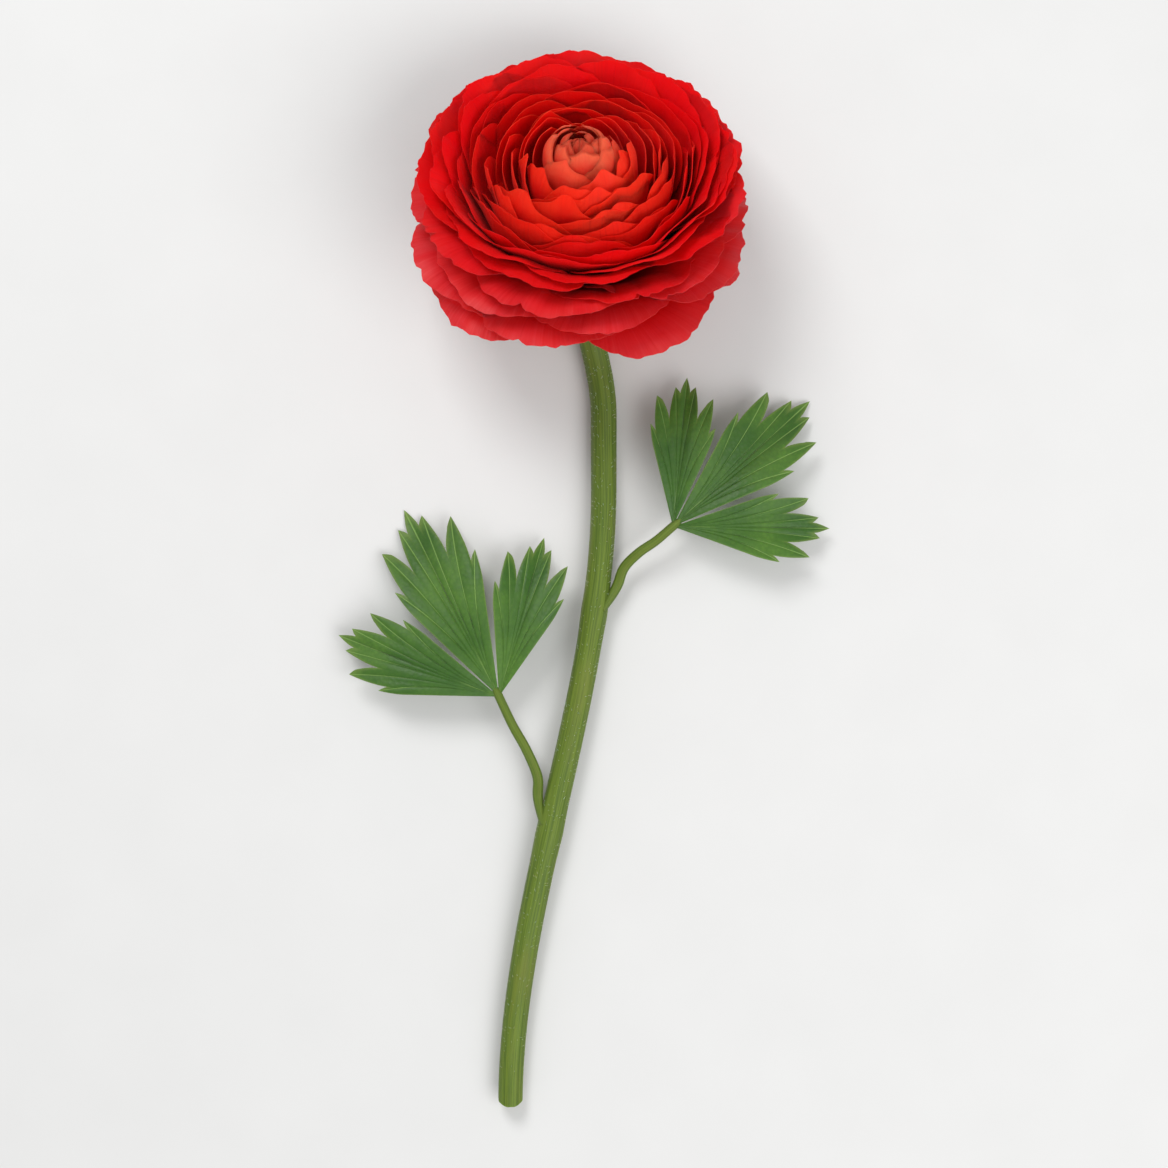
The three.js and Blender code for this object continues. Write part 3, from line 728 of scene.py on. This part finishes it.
# The blades start at the stalk's end, this high over the table.
BLADES_HEIGHT = 10.5
SEGMENT_TURNS = (44, 2, -41)
SEGMENT_HALF = math.radians(19.5)
SEGMENT_START = 1.2
# A blade rises at this angle, bends down on this radius, and is kept above this height over the
# table.
LEAF_PITCH = math.radians(13)
LEAF_BEND = 58
LEAF_FLOOR = 0.3
# The outline of a segment: place across it, -1 to 1, and how far it reaches there.
TEETH = [
    (-1, 0.56), (-0.92, 0.71), (-0.8, 0.66), (-0.62, 0.89), (-0.5, 0.83), (-0.37, 0.73), (-0.2, 0.94),
    (-0.1, 0.9), (0, 1), (0.12, 0.89), (0.22, 0.93), (0.38, 0.72), (0.51, 0.84), (0.64, 0.88),
    (0.81, 0.65), (0.92, 0.7), (1, 0.56),
]
TIPS = [tip for before, tip, after in zip(TEETH, TEETH[1:], TEETH[2:]) if tip[1] > max(before[1], after[1])]


def smooth_line(points, share):
    """A point of a smooth line through the points."""
    points = [points[0] * 2 - points[1], *points, points[-1] * 2 - points[-2]]
    at = min(share, 0.9999) * (len(points) - 3)
    a, b, c, d = points[int(at):int(at) + 4]
    steps = [max((q - p).length ** 0.5, 0.01) for p, q in ((a, b), (b, c), (c, d))]
    leave = ((b - a) / steps[0] - (c - a) / (steps[0] + steps[1]) + (c - b) / steps[1]) * steps[1]
    arrive = ((c - b) / steps[1] - (d - b) / (steps[1] + steps[2]) + (d - c) / steps[2]) * steps[1]
    t = at - int(at)
    return (b + leave * t + (3 * (c - b) - 2 * leave - arrive) * t ** 2
            + (2 * (b - c) + leave + arrive) * t ** 3)


def outline(across):
    """The place across a segment and its reach there, with the same step from tooth to notch to
    tooth. The sides of a tooth bulge and its tip is sharp."""
    exact = (across + 1) / 2 * (len(TEETH) - 1)
    before = min(int(exact), len(TEETH) - 2)
    (a, low), (b, high) = TEETH[before], TEETH[before + 1]
    t = exact - before
    rise = t ** 0.75 if high > low else 1 - (1 - t) ** 0.75
    return a + (b - a) * t, low + (high - low) * rise


leaf_paint = Paint("leaf_skin", Subsurface_Weight=0.12, Subsurface_Scale=0.001,
                   Subsurface_Radius=(0.5, 1.0, 0.2), Specular_IOR_Level=0.28, Sheen_Weight=0.1)
blend, between = leaf_paint.blend, leaf_paint.between
across, far, rim, inner = (leaf_paint.attribute(key) for key in ("across", "far", "rim", "inner"))
veins = 0
for tip, reach in TIPS:
    spread = leaf_paint.maths("MINIMUM", far * (0.65 / reach) + 0.35, 1)
    away = abs(across - spread * tip) * (far * 0.85 + 0.15)
    width = 0.020 if abs(tip) < 0.1 else 0.014
    veins = leaf_paint.maths("MAXIMUM", veins, between(away, width * 0.3, width, 1, 0))
cloud = leaf_paint.noise(leaf_paint.place(), 70, 3)
crinkle = leaf_paint.node("TexVoronoi", {"feature": "F1"}, {"Vector": leaf_paint.place(), "Scale": 900})
green = blend(between(cloud, 0.3, 0.7), (0.028, 0.092, 0.007), (0.066, 0.158, 0.015))
green = blend(between(crinkle, 0.0, 0.8, 0, 0.3), green, (0.020, 0.075, 0.008))
green = blend(veins * 0.7, green, (0.20, 0.34, 0.08))
green = blend(between(rim, 0.4, 1.0, 0, 0.5), green, (0.16, 0.22, 0.05))
green = blend((1 - inner) * 0.6, green, (0.22, 0.34, 0.13))
leaf_paint.end(
    Base_Color=green,
    Roughness=between(cloud, 0.3, 0.7, 0.42, 0.58),
    Normal=leaf_paint.bump(crinkle * 0.5 - veins * 0.6, 0.22, 0.7),
)

for name, at, side, heading, stalk, segments, seed in LEAVES:
    root = stem_point(at)
    ahead = (stem_point(at - 5) - root) * Vector((1, 1, 0))
    ahead.normalize()
    out = Vector((ahead.y, -ahead.x, 0)) * side
    heading = math.radians(heading)
    forward = ahead * math.cos(heading) + out * math.sin(heading)
    sideways = Vector((-forward.y, forward.x, 0))

    # The stalk's route: out of the stem, along it, round a bend and up to the blades. The heights
    # are over the table.
    beside = root + out * (STEM_RADIUS + STALK_CLEAR + STALK_RADIUS) + ahead * 7
    bend = beside + ahead * 5 + out * 1.2
    blades = bend + forward * stalk
    route = [Vector((point.x, point.y, height)) for point, height in [
        (root + out * (STEM_RADIUS - STALK_SUNK), root.z + 0.4),
        (beside, root.z + 0.4),
        (bend, root.z + 1.6),
        (bend.lerp(blades, 0.3) + ahead * 0.8, root.z + 3.4),
        (bend.lerp(blades, 0.65), 9.4),
        (blades, BLADES_HEIGHT),
        (blades + forward * 3.5, 10.9),
    ]]
    blades.z = BLADES_HEIGHT

    def stalk_shape(share, angle):
        """Its half width and half height: spread where it clasps the stem, tapered, grooved on top."""
        clasp = max(0, 1 - share / 0.22) ** 2
        taper = (1 - 0.25 * share) * (1 - 0.6 * max(0, (share - 0.9) / 0.1))
        groove = 1 - 0.12 * max(0, math.sin(angle)) ** 4
        size = STALK_RADIUS * taper * groove
        return size * (1 - 0.45 * clasp), size * (1 + 0.9 * clasp)

    bm = bmesh.new()
    for ring in tube(bm, lambda share: smooth_line(route, share), 60, 20, stalk_shape):
        cap(bm, ring)
    bmesh.ops.recalc_face_normals(bm, faces=bm.faces)
    for face in bm.faces:
        face.material_index = 1
    for number, (segment_turn, reach) in enumerate(zip(SEGMENT_TURNS, segments)):

        def blade(across, along):
            """A point of the segment: pitched up, bent down, folded, waved, with sunken veins."""
            across, end = outline(across)
            far = SEGMENT_START + (reach * end - SEGMENT_START) * along
            angle = math.radians(segment_turn) + across * SEGMENT_HALF
            lines = [tip * min(1, 0.35 + 0.65 * end * along / tip_reach) for tip, tip_reach in TIPS]
            groove = max(math.exp(-(((across - line) / 0.035) ** 2)) for line in lines)
            height = far * math.tan(LEAF_PITCH) - far * far / (2 * LEAF_BEND)
            height += 0.22 * far * abs(math.sin(across * SEGMENT_HALF))
            height += 1.1 * far / reach * math.sin(2.6 * across + seed + number)
            height += 0.3 * (far / reach) ** 2 * math.sin(13 * across + 2 * seed + number)
            height -= 0.3 * groove * min(1, 4 * along) * (1 - 0.6 * along)
            point = blades + forward * (far * math.cos(angle)) + sideways * (far * math.sin(angle))
            point.z += height
            return press(point, LEAF_FLOOR, 3)

        def blade_marks(across, along):
            across, end = outline(across)
            return {"across": across, "far": end * along}

        sheet(bm, 128, 28, LEAF_THICKNESS, blade, blade_marks)
    finish_mesh(name + "_fine", bm, [leaf_paint, stem_paint], [name])


# The table, the light and the camera. A plain pale surface, lit from above and from the side that
# the bloom faces, and seen from straight above.
TABLE_HALF_WIDTH = 3000
LIT_POINT = Vector((0, 60, 20))
CAMERA_HEIGHT = 1250
# The lens shows this width at this distance.
SHOWN_WIDTH = 306
SHOWN_FROM = 1220

bm = bmesh.new()
bmesh.ops.create_grid(bm, x_segments=1, y_segments=1, size=TABLE_HALF_WIDTH * MM)
mesh = bpy.data.meshes.new("table_top")
bm.to_mesh(mesh)
bm.free()
table_paint = Paint("table_paint", Roughness=0.6)
tone = table_paint.noise(table_paint.place(), 40, 3)
table_paint.end(Base_Color=table_paint.blend(tone, (0.59, 0.59, 0.585), (0.62, 0.62, 0.615)))
mesh.materials.append(table_paint.material)
table = bpy.data.objects.new("table_top", mesh)
bpy.context.scene.collection.objects.link(table)

world = bpy.data.worlds.new("studio")
bpy.context.scene.world = world
world.use_nodes = True
world.node_tree.nodes["Background"].inputs["Color"].default_value = (1, 1, 1, 1)
world.node_tree.nodes["Background"].inputs["Strength"].default_value = 0.6
# Each light: its name, its place and width in metres, its power in watts.
for name, place_at, size, power in [
    ("key_light", (-0.35, 0.7, 1.0), 0.5, 8.5),
    ("fill_light", (0.6, -0.45, 1.05), 0.9, 10),
]:
    lamp = bpy.data.lights.new(name, "AREA")
    lamp.size = size
    lamp.energy = power
    light = bpy.data.objects.new(name, lamp)
    bpy.context.scene.collection.objects.link(light)
    light.location = place_at
    light.rotation_euler = (LIT_POINT * MM - light.location).to_track_quat("-Z", "Y").to_euler()

camera = bpy.data.objects.new("camera", bpy.data.cameras.new("camera"))
bpy.context.scene.collection.objects.link(camera)
camera.location = (0, 0, CAMERA_HEIGHT * MM)
camera.data.sensor_width = 36
camera.data.lens = camera.data.sensor_width * SHOWN_FROM / SHOWN_WIDTH
camera.data.clip_end = 20
bpy.context.scene.camera = camera
bpy.context.scene.view_settings.view_transform = "Standard"
